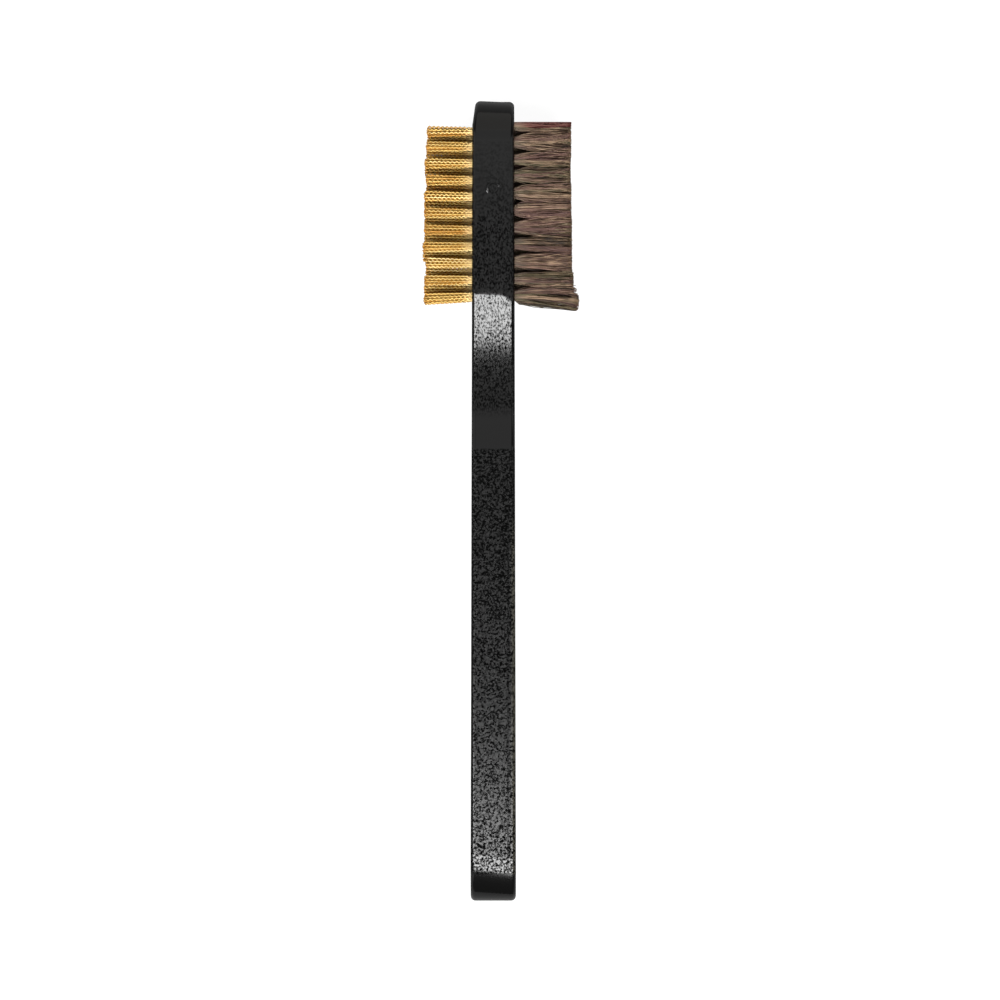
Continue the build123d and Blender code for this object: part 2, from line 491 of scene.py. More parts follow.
def plastic_material(settings):
    """Black plastic with a fine eroded speckle, smooth at the tip, the waist and the butt."""
    material, tree, shader = new_material("Black plastic")
    head_grain = place_group(tree, "Fine grain", Speck_size=settings.grain_size, Stretch=1.8)
    grip_grain = place_group(tree, "Fine grain", Speck_size=1.5 * settings.grain_size, Stretch=1.0)
    split = add(tree, "ShaderNodeSeparateXYZ")
    tree.links.new(add(tree, "ShaderNodeTexCoord").outputs["Object"], split.inputs["Vector"])
    across, along = split.outputs["X"], split.outputs["Y"]
    below_tip = ramp_between(tree, along, tip_line - sharp_fade, tip_line + sharp_fade, 1.0, 0.0)
    above_waist = ramp_between(tree, along, waist_line - soft_fade, waist_line + soft_fade)
    below_grip = ramp_between(
        tree, along, grip_line - sharp_fade, grip_line + sharp_fade, 1.0, 0.0
    )
    above_butt = ramp_between(tree, along, butt_line - sharp_fade, butt_line + sharp_fade)
    head_part = calculate(tree, "MULTIPLY", below_tip, above_waist)
    grip_part = calculate(tree, "MULTIPLY", below_grip, above_butt)
    eroded = calculate(tree, "ADD", head_part, grip_part, clamp=True)
    clear, height = (
        calculate(
            tree,
            "MULTIPLY_ADD",
            calculate(tree, "SUBTRACT", grip_grain.outputs[output], head_grain.outputs[output]),
            grip_part,
            head_grain.outputs[output],
        )
        for output in ("Specks", "Height")
    )
    # The pits are wide on the lower half of the head and below the neck, narrow on the neck's
    # highlight and widest on the grip, where they narrow towards the butt and widen just before it
    below_head = ramp_between(tree, along, *head_stretch, 1.0, 0.0)
    above_neck = ramp_between(tree, along, *neck_top_stretch)
    below_neck = ramp_between(tree, along, *neck_bottom_stretch, 1.0, 0.0)
    wide = calculate(
        tree, "MULTIPLY", below_head, calculate(tree, "ADD", above_neck, below_neck)
    )
    width = calculate(tree, "MULTIPLY_ADD", wide, head_widening, 1.0)
    narrower = ramp_between(tree, along, *grip_stretch, grip_narrowing, 0.0)
    at_butt = ramp_between(tree, along, *butt_stretch, butt_widening, 0.0)
    on_grip = calculate(tree, "ADD", calculate(tree, "ADD", narrower, at_butt), grip_widening)
    width = calculate(tree, "MULTIPLY_ADD", grip_part, on_grip, width)
    specks = calculate(tree, "MULTIPLY", calculate(tree, "POWER", clear, width), eroded)
    speckled = mix_colors(
        tree, specks, color_value(settings.plastic_color), color_value(settings.speck_color)
    )
    # A broken line runs along the grip near the hair side, and the edge beyond it is painted
    # lighter, a painted sheen where its round reflects light
    lined = ramp_between(tree, along, seam_start - seam_fade, seam_start, 1.0, 0.0)
    lined = calculate(tree, "MULTIPLY", lined, specks)
    painted_rim_sheen = calculate(tree, "MULTIPLY", ramp_between(tree, across, *rim_sheen_span), lined)
    tree.links.new(
        mix_colors(tree, painted_rim_sheen, speckled, rim_sheen_color), shader.inputs["Base Color"]
    )
    line = calculate(
        tree,
        "MULTIPLY",
        ramp_between(tree, across, *line_in),
        ramp_between(tree, across, *line_out, 1.0, 0.0),
    )
    line = calculate(
        tree, "MULTIPLY", calculate(tree, "MULTIPLY", line, lined), line_depth_share
    )
    # The moulding has a glossy skin, which the pits of the texture break
    depth = ramp_between(tree, along, *depth_stretch, 1.0, tip_depth_share)
    pitted = calculate(tree, "ADD", calculate(tree, "SUBTRACT", eroded, specks), line)
    gloss = calculate(
        tree, "SUBTRACT", 1.0, calculate(tree, "MULTIPLY", pitted, depth), clamp=True
    )
    tree.links.new(gloss, shader.inputs["Coat Weight"])
    shader.inputs["Coat Roughness"].default_value = 0.15
    shader.inputs["Coat IOR"].default_value = 1.5
    shader.inputs["Specular IOR Level"].default_value = 0.0
    shader.inputs["Roughness"].default_value = 0.6
    bump = add(tree, "ShaderNodeBump")
    bump.inputs["Strength"].default_value = 1.0
    bump.inputs["Distance"].default_value = settings.grain_depth
    swell = calculate(tree, "MULTIPLY_ADD", grip_part, 0.4, eroded)
    tree.links.new(calculate(tree, "MULTIPLY", height, swell), bump.inputs["Height"])
    tree.links.new(bump.outputs["Normal"], shader.inputs["Normal"])
    return material


def brass_material(settings):
    """Bare brass wire, each strand of its own shade, with a painted highlight near the roots."""
    material, tree, shader = new_material("Brass wire")
    strand = place_group(
        tree,
        "Strand colour",
        Dark=color_value(settings.dark_color),
        Middle=color_value(settings.middle_color),
        Light=color_value(settings.light_color),
        # The pale Root colour is a painted highlight near the roots
        Root=(0.84, 0.71, 0.40, 1),
        Root_share=0.6,
        Patchiness=0.5,
    )
    along = add(tree, "ShaderNodeAttribute", attribute_name="along").outputs["Fac"]
    tip = ramp_between(tree, along, 0.90, 1.0, 0.0, 0.6)
    tree.links.new(
        mix_colors(tree, tip, strand.outputs["Color"], color_value(settings.dark_color)),
        shader.inputs["Base Color"],
    )
    grain = place_group(tree, "Fine grain", Speck_size=0.09 * MM, Stretch=1.0)
    roughness = calculate(tree, "MULTIPLY_ADD", grain.outputs["Specks"], 0.08, 0.46)
    tree.links.new(roughness, shader.inputs["Roughness"])
    shader.inputs["Metallic"].default_value = 1.0
    return material


def hair_material(settings):
    """Brown hair, each strand of its own shade, with a painted highlight near the roots and reddish
    ones along the tip of the head.
    """
    material, tree, shader = new_material("Brown hair")
    strand = place_group(
        tree,
        "Strand colour",
        Dark=color_value(settings.dark_color),
        Middle=color_value(settings.middle_color),
        Light=color_value(settings.light_color),
        # The lighter Root colour is a painted highlight near the roots
        Root=(0.188, 0.152, 0.110, 1),
        Root_share=0.6,
        Patchiness=1.7,
    )
    tint = add(tree, "ShaderNodeAttribute", attribute_name="tint").outputs["Fac"]
    olive = calculate(tree, "MULTIPLY", ramp_between(tree, tint, 0.0, 0.4, 1.0, 0.0), 0.75)
    pink = calculate(tree, "MULTIPLY", ramp_between(tree, tint, 0.6, 1.0), 0.75)
    tinted = mix_colors(tree, olive, strand.outputs["Color"], color_value(settings.olive_color))
    tinted = mix_colors(tree, pink, tinted, color_value(settings.pink_color))
    red = add(tree, "ShaderNodeAttribute", attribute_name="red").outputs["Fac"]
    tree.links.new(
        mix_colors(tree, red, tinted, color_value(settings.red_color)),
        shader.inputs["Base Color"],
    )
    roughness = calculate(tree, "MULTIPLY_ADD", strand.outputs["Tone"], -0.10, 0.62)
    tree.links.new(roughness, shader.inputs["Roughness"])
    shader.inputs["IOR"].default_value = 1.40
    return material


def steel_material():
    """Cut steel strip of the anchors, with a fine drawn grain."""
    material, tree, shader = new_material("Anchor steel")
    grain = place_group(tree, "Fine grain", Speck_size=0.12 * MM, Stretch=4.0)
    tree.links.new(
        mix_colors(tree, grain.outputs["Specks"], (0.46, 0.45, 0.43, 1), (0.62, 0.61, 0.60, 1)),
        shader.inputs["Base Color"],
    )
    roughness = calculate(tree, "MULTIPLY_ADD", grain.outputs["Specks"], 0.15, 0.28)
    tree.links.new(roughness, shader.inputs["Roughness"])
    shader.inputs["Metallic"].default_value = 1.0
    return material


def floor_material(settings):
    """White lit table with a barely uneven tone, which leaves its glare out of reflections."""
    material, tree, shader = new_material("Lit table")
    cloud = add(tree, "ShaderNodeTexNoise")
    cloud.inputs["Scale"].default_value = 3.0
    tree.links.new(
        mix_colors(
            tree,
            cloud.outputs["Fac"],
            color_value(settings.floor_color),
            tuple(0.98 * part for part in settings.floor_color) + (1.0,),
        ),
        shader.inputs["Base Color"],
    )
    shader.inputs["Roughness"].default_value = 1.0
    shader.inputs["Specular IOR Level"].default_value = 0.0
    shader.inputs["Emission Color"].default_value = (1, 1, 1, 1)
    seen = add(tree, "ShaderNodeLightPath").outputs["Is Camera Ray"]
    tree.links.new(
        calculate(tree, "MULTIPLY", seen, settings.floor_glow), shader.inputs["Emission Strength"]
    )
    return material


# The handle


def arc(center, radius, start, turn, steps, hollow=False):
    """Points (y, z) along an arc of the plan with the way out of the handle at each."""
    stations = []
    for step in range(steps + 1):
        angle = start + turn * step / steps
        way = (cos(angle), sin(angle))
        outward = (-way[0], -way[1]) if hollow else way
        stations.append((center[0] + radius * way[0], center[1] + radius * way[1], *outward))
    return stations


def half_plan():
    """The upper side's plan from tip to butt: (y, z, outward y, outward z), z from the middle."""
    tip_steps, blend_steps, waist_steps, shoulder_steps, end_steps = 24, 8, 40, 14, 24
    tip = arc((tip_end - half_width, 0), half_width, 0, pi / 2, tip_steps)

    waist_middle = neck_start - waist_length / 2
    waist_radius = ((waist_length / 2) ** 2 + waist_depth**2) / (2 * waist_depth)
    waist_center = (waist_middle, half_width - waist_depth + waist_radius)
    blend_height = half_width - waist_blend_radius
    rise = waist_center[1] - blend_height
    reach = sqrt((waist_radius + waist_blend_radius) ** 2 - rise**2)
    lean = asin(reach / (waist_radius + waist_blend_radius))
    blend_in = arc(
        (waist_middle + reach, blend_height), waist_blend_radius, pi / 2, lean, blend_steps
    )
    waist = arc(waist_center, waist_radius, -pi / 2 + lean, -2 * lean, waist_steps, hollow=True)
    blend_out = arc(
        (waist_middle - reach, blend_height), waist_blend_radius, pi / 2 - lean, lean, blend_steps
    )

    end_radius_share = 1 / cos(shoulder_angle)
    shoulder_drop = shoulder_radius * (1 - cos(shoulder_angle))
    end_radius = (half_width - shoulder_drop) * end_radius_share
    end_center = butt_end + end_radius
    shoulder_end = end_center - end_radius * sin(shoulder_angle)
    grip_end = shoulder_end + shoulder_radius * sin(shoulder_angle)
    shoulder = arc(
        (grip_end, half_width - shoulder_radius),
        shoulder_radius,
        pi / 2,
        shoulder_angle,
        shoulder_steps,
    )
    end = arc(
        (end_center, 0),
        end_radius,
        pi / 2 + shoulder_angle,
        pi / 2 - shoulder_angle,
        end_steps,
    )
    # The waist shares its first and last points with the blends, and the butt with the shoulder
    return tip + blend_in + waist[1:-1] + blend_out + shoulder + end[1:]


def keyhole(along, height):
    """The outline (y, z) of a tuft hole with the slit that its anchor cut above and below it."""
    steps = 7
    meet = asin(slit_half_width / hole_radius)
    outline = []
    for quarter, turn in ((1, pi / 2), (-1, 3 * pi / 2)):
        outline.append((along + quarter * slit_half_width, height + quarter * slit_half_length))
        outline.append((along - quarter * slit_half_width, height + quarter * slit_half_length))
        for step in range(2 * steps + 1):
            angle = turn + meet + (pi - 2 * meet) * step / (2 * steps)
            outline.append((along + hole_radius * cos(angle), height + hole_radius * sin(angle)))
    return outline


def smooth_step(value, low, high):
    """A smooth share of the way from low to high."""
    share = min(max((value - low) / (high - low), 0), 1)
    return share * share * (3 - 2 * share)


# On the upper side the bends of the plan run askew. Each skewed stretch sets in over one pair of
# places along the handle and ends over another.
neck_skew = ((-30 * MM, -20.5 * MM), (-12 * MM, -17.5 * MM))
lower_skew = ((-21 * MM, -29 * MM), (-42 * MM, -34 * MM))
butt_skew = ((-134 * MM, -141 * MM), (-152 * MM, -149 * MM))
tip_skew = (17 * MM, 24 * MM)
# How far each is shifted in millimetres, towards the tip of the head where it is above zero, and
# how that changes from the middle of the upper side to its edge at the hair
neck_shift = 1.1
neck_curve = -2.6
neck_curve_start = 0.15
lower_shift = -1.5
tip_shift = 0.05
tip_slope = -0.2
butt_shift = -0.9
butt_slope = -0.6


def skew(along, across):
    """How far a place on the upper side lies off the plan, at a share of the way across it."""

    def within(stretch):
        """The share of a skewed stretch that has set in here."""
        begin, end = stretch
        return smooth_step(along, *begin) * smooth_step(along, *end)

    bend = max(across - neck_curve_start, 0) / (1 - neck_curve_start)
    shift = within(neck_skew) * (neck_shift + neck_curve * bend**2)
    shift += within(lower_skew) * lower_shift
    shift += smooth_step(along, *tip_skew) * (tip_shift + tip_slope * across)
    shift += within(butt_skew) * (butt_shift + butt_slope * across)
    return shift * MM


def loop_of(made, points):
    """A closed loop of new vertices and its edges."""
    vertices = [made.verts.new(point) for point in points]
    edges = [
        made.edges.new((vertex, vertices[(number + 1) % len(vertices)]))
        for number, vertex in enumerate(vertices)
    ]
    return vertices, edges


def walls(made, upper, lower):
    """The ring of faces between two loops of as many vertices."""
    count = len(upper)
    return [
        made.faces.new(
            (upper[number], upper[(number + 1) % count], lower[(number + 1) % count], lower[number])
        )
        for number in range(count)
    ]


def fill(made, edges):
    """The triangles between an outline and the openings in it."""
    filled = bmesh.ops.triangle_fill(made, use_beauty=True, use_dissolve=False, edges=edges)
    return [face for face in filled["geom"] if isinstance(face, bmesh.types.BMFace)]


# The rim's round is drawn in this many steps, and the narrow sides have lines at these shares
# of the way from their middle to their rim
rim_steps = 6
narrow_side_shares = (-0.5, 0.5, 0.66, 0.80, 0.90)
# The gate mark stands between the first two of them
gate_column = rim_steps + 1


def add_shell(made, settings, plan):
    """The rings of vertices round the handle and the normal at each vertex."""
    radius = settings.edge_radius
    rim = [radians(90) * step / rim_steps for step in range(rim_steps + 1)]
    section = [(-1, angle, 1.0) for angle in reversed(rim)]
    section += [(1, 0.0, share) for share in narrow_side_shares]
    section += [(1, angle, 1.0) for angle in rim]
    normals = {}
    rings = []
    for y, z, way_y, way_z in plan:
        ring = []
        for side, angle, share in section:
            inward = radius * (1 - cos(angle))
            place_y, place_z = y - way_y * inward, z - way_z * inward
            x = side * share * (half_thickness(place_y) - radius * (1 - sin(angle)))
            if side < 0:
                x += tip_slant * max(place_y - tip_slant_start, 0)
            if z > 0:
                place_y += skew(place_y, x / half_thickness(place_y))
            vertex = made.verts.new((x, place_y, middle_height + place_z))
            normals[vertex] = Vector((side * sin(angle), way_y * cos(angle), way_z * cos(angle)))
            ring.append(vertex)
        rings.append(ring)
    return rings, normals


def add_holes(made, rings, fields, face_normals):
    """The two wide faces, with their holes."""
    for field in fields:
        column = len(rings[0]) - 1 if field.side > 0 else 0
        rim_edges = [
            made.edges.get((ring[column], rings[(number + 1) % len(rings)][column]))
            for number, ring in enumerate(rings)
        ]
        hole_edges = []
        openings = []
        for row in range(rows):
            for along, height in field.row_places(row):
                outline = [
                    (field.side * half_thickness(y), y, z) for y, z in keyhole(along, height)
                ]
                vertices, edges = loop_of(made, outline)
                openings.append(vertices)
                hole_edges += edges
        out = Vector((field.side, 0, 0))
        face_normals.update(dict.fromkeys(fill(made, rim_edges + hole_edges), out))
        for vertices in openings:
            bottom = [made.verts.new(vertex.co - out * hole_depth) for vertex in vertices]
            face_normals.update(dict.fromkeys(walls(made, vertices, bottom)))
            face_normals[made.faces.new(bottom)] = None


# The gate mark is a shallow dish with the trimmed gate in it. From its rim to its middle: share
# of its radius, height, and how much of the burr's height is there.
dish_depth = 0.15 * MM
nub_depth = 0.10 * MM
gate_profile = (
    (1.00, 0.0, 0.0),
    (0.93, 0.0, 1.0),
    (0.70, 0.0, 1.0),
    (0.62, -dish_depth, 0.0),
    (0.34, -dish_depth, 0.0),
    (0.31, -nub_depth, 0.0),
)
# The burr round it is highest on the brass side and lower across from it: turn, width and height
burrs = ((radians(158), radians(78), 0.15 * MM), (radians(48), radians(42), 0.09 * MM))
gate_steps = 48


def add_gate(made, settings, ring, following, face_normals):
    """The gate mark between two rings on the upper side of the head."""
    frame_edges = [
        made.edges.get((ring[gate_column], ring[gate_column + 1])),
        made.edges.get((ring[gate_column + 1], following[gate_column + 1])),
        made.edges.get((following[gate_column + 1], following[gate_column])),
        made.edges.get((following[gate_column], ring[gate_column])),
    ]
    top = middle_height + half_width
    circles = []
    for share, height, burr_share in gate_profile:
        reach = share * settings.gate_radius
        circle = []
        for step in range(gate_steps):
            turn = 2 * pi * step / gate_steps
            raised = 0
            for middle, width, burr_height in burrs:
                away = abs((turn - middle + pi) % (2 * pi) - pi)
                raised += burr_height * smooth_step(away, width, 0)
            place = (reach * cos(turn), settings.gate_along + reach * sin(turn))
            circle.append((*place, top + height + burr_share * raised))
        circles.append(circle)
    vertices, edges = loop_of(made, circles[0])
    up = Vector((0, 0, 1))
    face_normals.update(dict.fromkeys(fill(made, frame_edges + edges), up))
    for circle in circles[1:]:
        inner = [made.verts.new(point) for point in circle]
        face_normals.update(dict.fromkeys(walls(made, vertices, inner)))
        vertices = inner
    face_normals[made.faces.new(vertices)] = up


def handle_mesh(settings, fields):
    """The moulded handle: a rounded bar with a waist, its tuft holes and its gate mark."""
    upper = half_plan()
    lower = [(y, -z, wy, -wz) for y, z, wy, wz in reversed(upper[1:-1])]
    plan = upper + lower
    made = bmesh.new()
    rings, normals = add_shell(made, settings, plan)
    gate_station = next(
        number
        for number, (y, z, *_) in enumerate(plan)
        if plan[(number + 1) % len(plan)][0] < settings.gate_along < y and z > 0
    )
    for number, ring in enumerate(rings):
        following = rings[(number + 1) % len(rings)]
        for place in range(len(ring) - 1):
            if number == gate_station and place == gate_column:
                continue
            corners = (ring[place], ring[place + 1], following[place + 1], following[place])
            made.faces.new(corners)

    # Faces with a normal of their own: a fixed one, or None for the face's true one
    face_normals = {}
    add_holes(made, rings, fields, face_normals)
    add_gate(made, settings, rings[gate_station], rings[gate_station + 1], face_normals)

    bmesh.ops.recalc_face_normals(made, faces=made.faces)
    made.verts.index_update()
    made.faces.index_update()
    smooth = {vertex.index: normal.normalized() for vertex, normal in normals.items()}
    fixed = {face.index: normal for face, normal in face_normals.items()}
    mesh = bpy.data.meshes.new("handle_shell")
    made.to_mesh(mesh)
    made.free()
    mesh.shade_smooth()
    corner_normals = []
    for polygon in mesh.polygons:
        for corner in polygon.vertices:
            if polygon.index in fixed:
                corner_normals.append(fixed[polygon.index] or polygon.normal.copy())
            else:
                corner_normals.append(smooth[corner])
    mesh.normals_split_custom_set(corner_normals)
    return mesh


class SUEDEBRUSH_OT_handle(bpy.types.Operator):
    """Build the moulded handle with its tuft holes and gate mark"""

    bl_idname = "suede_brush.handle"
    bl_label = "Handle"

    def execute(self, context):
        settings = context.scene.suede_brush_handle
        fields = [TuftField(kind) for kind in SIDES]
        mesh = handle_mesh(settings, fields)
        new_piece("handle_shell", mesh, plastic_material(settings), "black_plastic", "handle")
        return {"FINISHED"}


# The tufts

# How far each row leans towards the tip of the head, and how far it stands proud, as shares of
# its length, from the first row at the tip of the head to the last at the neck
lean_shares = {
    "brass": (-0.010, 0.010, 0.0, -0.005, 0.015, 0.010, 0.0, -0.010, 0.010, -0.012, -0.045),
    "hair": (0.020, -0.010, 0.012, -0.012, 0.010, -0.016, 0.012, -0.010, 0.0, -0.025, -0.105),
}
reach_shares = {
    "brass": (-0.048, -0.03, 0.0, -0.032, 0.011, 0.01, 0.007, 0.037, -0.023, 0.009, 0.014),
    "hair": (0.0, 0.0, -0.01, -0.01, 0.0, 0.0, 0.01, 0.01, 0.01, 0.035, 0.135),
}
# Strands start this far down in their holes
sunk = 1.2 * MM
wire_sides = 6
hair_sides = 4
# The rows' numbers are added to these to seed their scatter
brass_seed = 100
hair_seed = 500

# Brass tufts: how the wires are packed, spread and crimped
bundle_radius = 0.95 * MM
first_row_shift = 0.30 * MM
rings_per_crimp = 6
tuft_spread = (1.24, 1.36)
spread_scatter = 0.02
crimp_scatter = (0.85, 1.15)
crimp_start = 1.2 * MM
swing_scatter = 0.15
core_swing_scatter = 0.3
wire_stray = 0.04 * MM
wire_end_scatter = (-0.014, 0.010)
edge_shortening = 0.022
# Scatter of the crimp's phase between the rows and the wires of a tuft, in radians
outer_phase_scatter = (0.25, 0.12)
inner_phase_scatter = (1.5, 0.8)
# The core wires draw back from the surface of the tuft beyond its root
draw_start = 0.8 * MM
draw_length = 1.6 * MM
draw_in_share = 0.6
draw_depth = 0.3 * MM
draw_aside = 0.13 * MM
# Each wire's tone, as a mean and a scatter. The core wires' dark tone and the darkening of wires
# inside the field are painted shade.
core_shade_tone = (0.10, 0.05)
face_tone = (0.54, 0.16)
inner_painted_shade = 0.14


def wire_lattice(across):
    """The wires of a tuft: places in units of their spacing, and which of them are core wires.

    The wires stand in rows, and shorter rows of core wires fill the hollows between them.
    """
    line = np.arange(across) - (across - 1) / 2
    lay, layer = (
        np.concatenate([whole.ravel(), hollow.ravel()])
        for whole, hollow in zip(
            np.meshgrid(line, line), np.meshgrid(line[:-1] + 0.5, line[:-1] + 0.5)
        )
    )
    core = np.arange(len(lay)) >= len(line) ** 2
    inside = np.hypot(lay, layer) <= across / 2
    return line, lay[inside], layer[inside], core[inside]


def brass_row(field, row, settings, material):
    """One row of brass tufts as a piece."""
    chance = np.random.default_rng(brass_seed + row)
    radius = settings.thickness / 2
    reach = settings.length * (1 + reach_shares["brass"][row])
    rings = int(rings_per_crimp * reach / settings.crimp_length) + 2
    share = np.linspace(0, 1, rings)
    line, lay, layer, core = wire_lattice(settings.wires_across)
    count = len(lay)
    edge = np.hypot(lay, layer) / np.hypot(lay, layer).max()
    spacing = (bundle_radius - radius) / np.hypot(lay, layer).max()
    lean = lean_shares["brass"][row] * reach
    paths, tones = [], []
    for along, height in field.row_places(row):
        # The first row stands a little nearer to the second
        along = along - first_row_shift * (row == 0)
        inner = abs(height - middle_height) < field.column_pitch
        # Neighbouring rows swing in turn, so openings show between them. Inside the field the
        # wires swing as they come.
        row_noise, wire_noise = inner_phase_scatter if inner else outer_phase_scatter
        row_phase = pi * np.arange(len(line)) + chance.normal(0, row_noise, len(line))
        phase = chance.uniform(0, 2 * pi) + row_phase[(lay - line[0]).astype(int)]
        phase = phase + chance.normal(0, wire_noise, count)
        phase = phase + core * chance.uniform(0, 2 * pi, count)
        swing = chance.normal(0, swing_scatter + core_swing_scatter * core)
        crimp = settings.crimp_height * chance.uniform(*crimp_scatter, count)
        spread = chance.uniform(*tuft_spread) + chance.normal(0, spread_scatter, count)
        stray = chance.normal(0, wire_stray, (2, count))
        uneven = chance.uniform(*wire_end_scatter, count)
        ends = reach * (1 - edge_shortening * edge**3 + uneven)
        out = -sunk + (ends[:, None] + sunk) * share
        rise = np.clip(out / reach, 0, None)
        wave = crimp[:, None] * np.sin(2 * pi * out / settings.crimp_length + phase[:, None])
        wave = wave * np.clip(out / crimp_start, 0, 1)
        widening = 1 + (spread[:, None] - 1) * rise
        y = (lay * spacing)[:, None] * widening + stray[0][:, None] * rise
        z = (layer * spacing)[:, None] * widening + stray[1][:, None] * rise
        drawn = core[:, None] * np.clip((out - draw_start) / draw_length, 0, 1)
        z = z * (1 - draw_in_share * drawn) - draw_depth * drawn
        y = y + draw_aside * layer[:, None] * drawn
        y = along + y + lean * rise + wave * np.cos(swing)[:, None]
        z = height + z + wave * np.sin(swing)[:, None]
        paths.append(field.point(y, z, out))
        # The wires inside the field and inside each tuft get darker tones, a painted shade where
        # other wires shadow them
        tone = np.where(core, chance.normal(*core_shade_tone, count), chance.normal(*face_tone, count))
        tones.append(np.clip(tone - inner_painted_shade * inner, 0, 1))
    paths = np.concatenate(paths)
    tones = np.concatenate(tones)
    radii = np.full(paths.shape[:2], radius)
    name = f"brass_wires_row_{row + 1:02d}"
    marks = {"tone": tones[:, None], "along": share[None, :]}
    mesh = tubes(name, paths, radii, wire_sides, marks)
    new_piece(name, mesh, material, "brass_wire", f"brass_tuft_row_{row + 1:02d}")


# Hair tufts: hairs stand in locks, which lean, curve and are coloured together
hair_rings = 14
lock_columns = 5
lock_layers = 4
lock_tone_range = (0.05, 0.95)
lock_lean_scatter = 0.50 * MM
lock_curve_scatter = 0.45 * MM
lock_curve_turn = 0.6
lock_gathering = 0.35
hair_spread = (0.0, 0.24)
hair_tuft_spread = (1.46, 1.74)
# How soon a tuft opens beyond its root: higher is sooner
opening_quickness = (2.5, 9.0)
tuft_scatter = 0.10 * MM
hair_stray = 0.25 * MM
wild_hair_share = 0.08
wild_hair_gain = 3.5
last_row_stray_gain = 0.5
hair_end_scatter = (-0.030, 0.006)
tuft_rounding = 0.015
last_row_rounding = 0.09
bend_turn_scatter = 0.8
bend_waves = (0.5, 1.8)
bend_reach = (0.05 * MM, 0.28 * MM)
# The level edge of the first row and the hairs drawn back from it
level_inset = 0.46 * MM
level_scatter = (-0.22 * MM, 0)
red_depth = 1.15 * MM
red_range = (0.8, 1.0)
red_start = 0.12
red_rise = 5
# The spread, clean lower edge and bow of the last row
upper_hair_spread = 0.45
lower_edge_scatter = (0, 0.25 * MM)
lower_edge_reach = 0.95 * MM
last_row_bow = 0.75 * MM
bow_start = 1.0 * MM
bow_power = 0.7
last_lean_power = 2.2
tone_scatter = 0.07
tint_scatter = 0.12
hair_taper = 0.25


